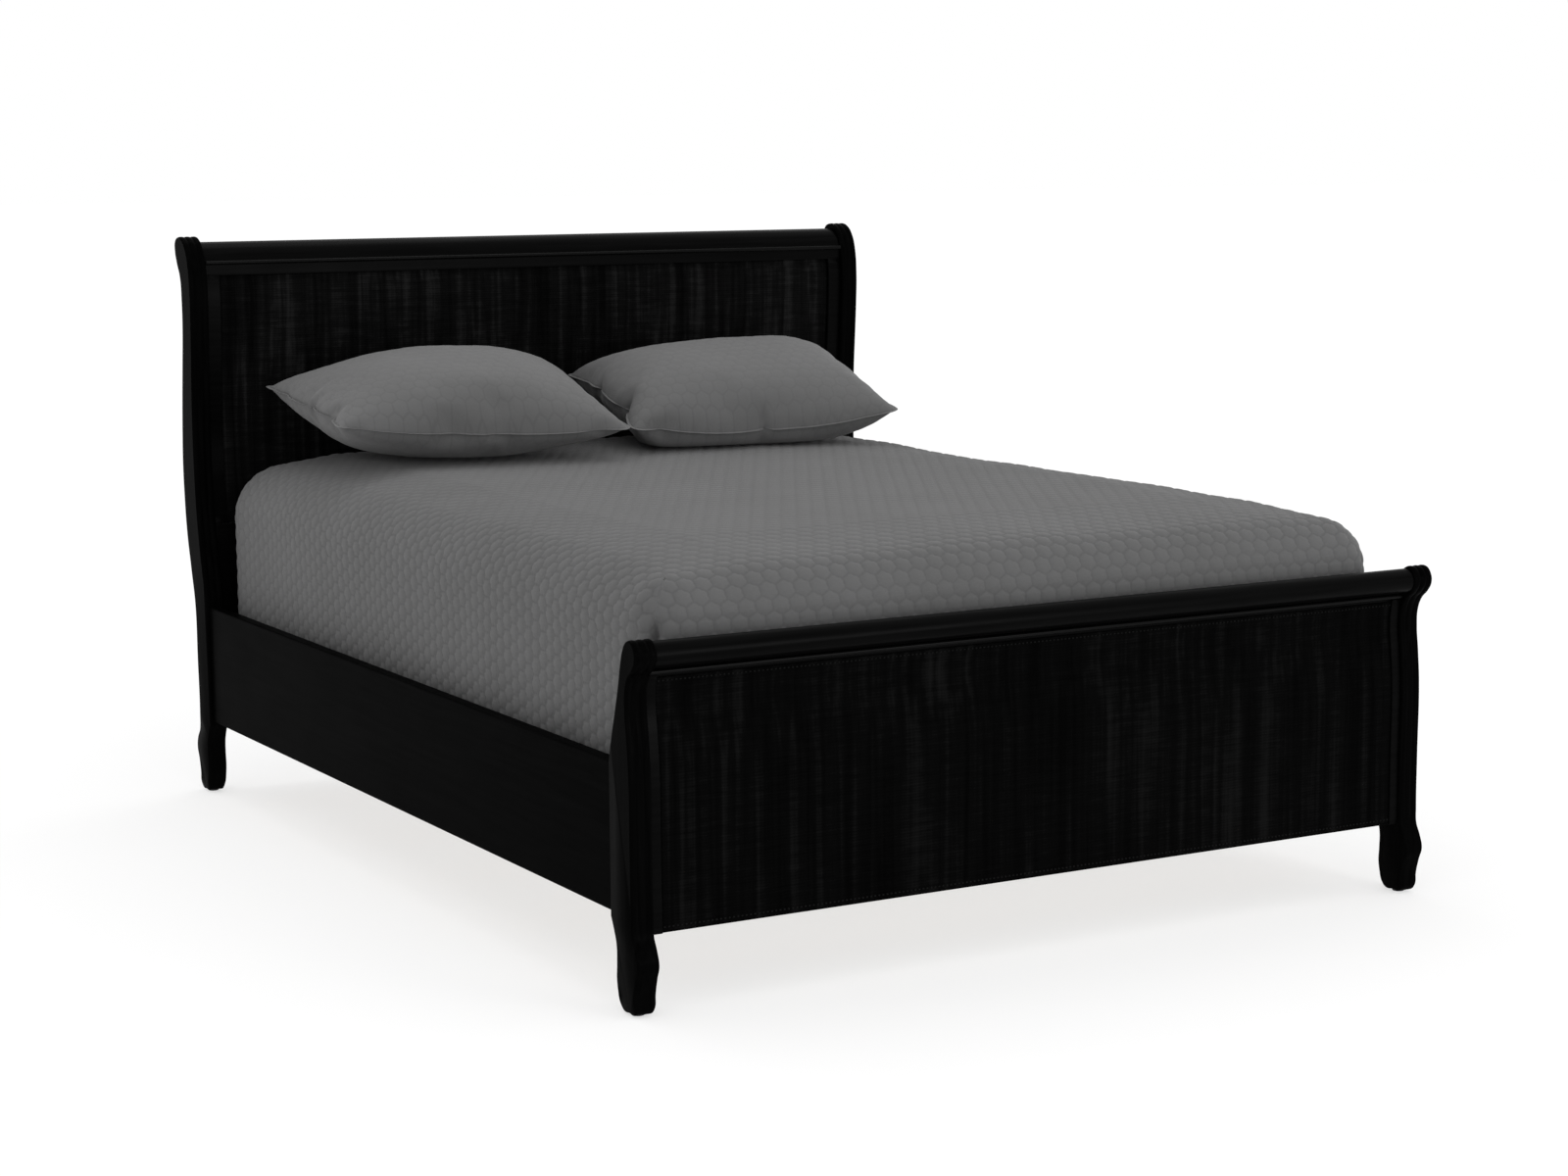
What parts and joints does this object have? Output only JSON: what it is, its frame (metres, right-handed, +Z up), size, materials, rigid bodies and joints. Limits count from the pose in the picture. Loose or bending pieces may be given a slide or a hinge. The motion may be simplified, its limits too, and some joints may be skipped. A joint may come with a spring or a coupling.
{
  "type": "sleigh bed",
  "caption": "Queen sleigh bed with scrolled posts, woven end panels, hooked side rails, slats, foundation, mattress, quilted coverlet and pillows.",
  "frame": {"origin": "on the floor, under the middle of the bed's overall box", "axes": "+X across the bed, +Y along it from the foot to the head, +Z up"},
  "size_m": [1.7, 2.18, 1.23],
  "materials": {
    "black_paint": "painted black, satin",
    "woven_fibre": "woven plant fibre, dyed black",
    "steel": "plain zinc-plated",
    "pine": "unfinished, planed",
    "nylon": "matte",
    "ticking": "plain woven ticking",
    "quilted_cotton": "grey quilted cotton, matte"
  },
  "bodies": {
    "frame": {"centre_leg_1": "pine", "centre_leg_2": "pine", "centre_leg_3": "pine", "foot_post_left": "black_paint", "foot_post_right": "black_paint", "footboard_bead": "black_paint", "footboard_panel": "black_paint", "footboard_stile_left": "black_paint", "footboard_stile_right": "black_paint", "footboard_top_roll": "black_paint", "footboard_weave": "woven_fibre", "glide_foot_left": "nylon", "glide_foot_right": "nylon", "glide_head_left": "nylon", "glide_head_right": "nylon", "head_post_left": "black_paint", "head_post_right": "black_paint", "headboard_bead": "black_paint", "headboard_lower_board": "black_paint", "headboard_panel": "black_paint", "headboard_stile_left": "black_paint", "headboard_stile_right": "black_paint", "headboard_top_roll": "black_paint", "headboard_weave": "woven_fibre", "ledger_left": "pine", "ledger_right": "pine", "post_plate_foot_left": "steel", "post_plate_foot_right": "steel", "post_plate_head_left": "steel", "post_plate_head_right": "steel", "rail_hook_foot_left": "steel", "rail_hook_foot_right": "steel", "rail_hook_head_left": "steel", "rail_hook_head_right": "steel", "side_rail_left": "black_paint", "side_rail_right": "black_paint", "slat_1": "pine", "slat_2": "pine", "slat_3": "pine", "slat_4": "pine", "slat_5": "pine"},
    "foundation": {"foundation": "ticking"},
    "mattress": {"mattress": "ticking", "coverlet": "quilted_cotton"},
    "pillow_left": {"pillow_left": "quilted_cotton"},
    "pillow_right": {"pillow_right": "quilted_cotton"},
    "leveller_1": {"leveller_1": "nylon"},
    "leveller_2": {"leveller_2": "nylon"},
    "leveller_3": {"leveller_3": "nylon"}
  },
  "joints": [
    {"name": "foundation_lift", "type": "slide", "parent": "frame", "child": "foundation", "axis": [0, 0, 1], "range_m": [0, 0.4]},
    {"name": "mattress_lift", "type": "slide", "parent": "foundation", "child": "mattress", "axis": [0, 0, 1], "range_m": [0, 0.4]},
    {"name": "pillow_left_lift", "type": "slide", "parent": "mattress", "child": "pillow_left", "axis": [0, 0, 1], "range_m": [0, 0.3]},
    {"name": "pillow_right_lift", "type": "slide", "parent": "mattress", "child": "pillow_right", "axis": [0, 0, 1], "range_m": [0, 0.3]},
    {"name": "leveller_1_screw", "type": "slide", "parent": "frame", "child": "leveller_1", "axis": [0, 0, -1], "range_m": [0, 0.02]},
    {"name": "leveller_2_screw", "type": "slide", "parent": "frame", "child": "leveller_2", "axis": [0, 0, -1], "range_m": [0, 0.02]},
    {"name": "leveller_3_screw", "type": "slide", "parent": "frame", "child": "leveller_3", "axis": [0, 0, -1], "range_m": [0, 0.02]}
  ]
}
